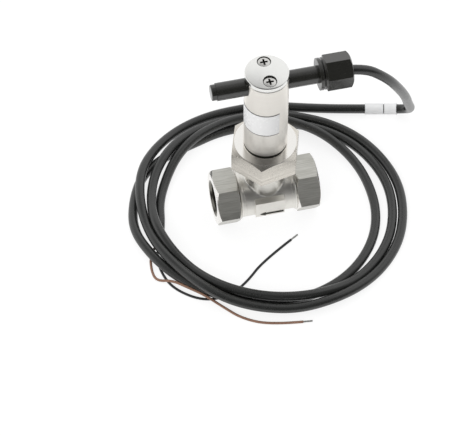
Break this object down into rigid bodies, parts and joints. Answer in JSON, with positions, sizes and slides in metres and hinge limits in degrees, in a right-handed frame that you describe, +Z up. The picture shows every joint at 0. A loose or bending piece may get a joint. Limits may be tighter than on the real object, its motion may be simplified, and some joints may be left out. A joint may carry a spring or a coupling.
{
  "type": "inline paddle flow switch",
  "caption": "Pipe tee with a screwed-in switch head: a pivoted paddle in the flow swings a magnet under a reed contact in an adjustable clamped rod, with a coiled cable.",
  "frame": {"origin": "centre of the outlet port's mouth, on the axis of the run", "axes": "+X along the run towards the inlet, against the flow; +Z up the branch through the switch head"},
  "size_m": [0.1804, 0.1628, 0.1209],
  "materials": {
    "cast_stainless": "blasted casting with machined ends",
    "machined_stainless": "satin, machined",
    "turned_stainless": "fine turned, bright",
    "blasted_stainless": "frosted",
    "ground_steel": "bright",
    "magnet": "nickel plated",
    "tinned_copper": "tinned",
    "black_rubber": "matt",
    "bearing_plastic": "natural, unfilled",
    "black_plastic": "satin moulded",
    "reed_glass": "clear",
    "cable_sheath": "satin extruded",
    "white_sleeve": "satin",
    "brown_insulation": "satin extruded",
    "black_insulation": "satin extruded"
  },
  "bodies": {
    "base": {"tee_body": "cast_stainless", "neck_gasket": "black_rubber", "hex_insert": "machined_stainless", "housing_seal": "black_rubber", "bearing_carrier": "bearing_plastic", "pivot_pin": "ground_steel", "thrust_washers": "bearing_plastic", "sensor_housing": "turned_stainless", "return_magnet": "magnet", "clamp_cap": "blasted_stainless", "clamp_screws": "ground_steel"},
    "paddle": {"paddle_lever": "machined_stainless", "paddle_blade": "ground_steel", "blade_rivets": "ground_steel", "magnet_holder": "bearing_plastic", "lever_magnet": "magnet"},
    "reed_rod": {"reed_tube": "black_plastic", "rod_end_plug": "black_plastic", "reed_carrier": "bearing_plastic", "reed_capsule": "reed_glass", "reed_wires": "tinned_copper", "gland_body": "black_plastic", "gland_seal": "black_rubber", "thrust_ring": "black_plastic", "gland_nut": "black_plastic", "cable_lead": "cable_sheath", "cable_marker": "white_sleeve", "cable_coil": "cable_sheath", "core_brown": "brown_insulation", "core_black": "black_insulation", "tinned_ends": "tinned_copper"}
  },
  "joints": [
    {"name": "paddle_swing", "type": "hinge", "parent": "base", "child": "paddle", "pos_m": [0.03, 0, 0.038], "axis": [0, 1, 0], "range_deg": [0, 14], "stiffness_Nm_per_rad": 0.01, "springref_deg": -6.88},
    {"name": "reed_slide", "type": "slide", "parent": "base", "child": "reed_rod", "axis": [1, 0, 0], "range_m": [-0.005, 0.005]}
  ]
}
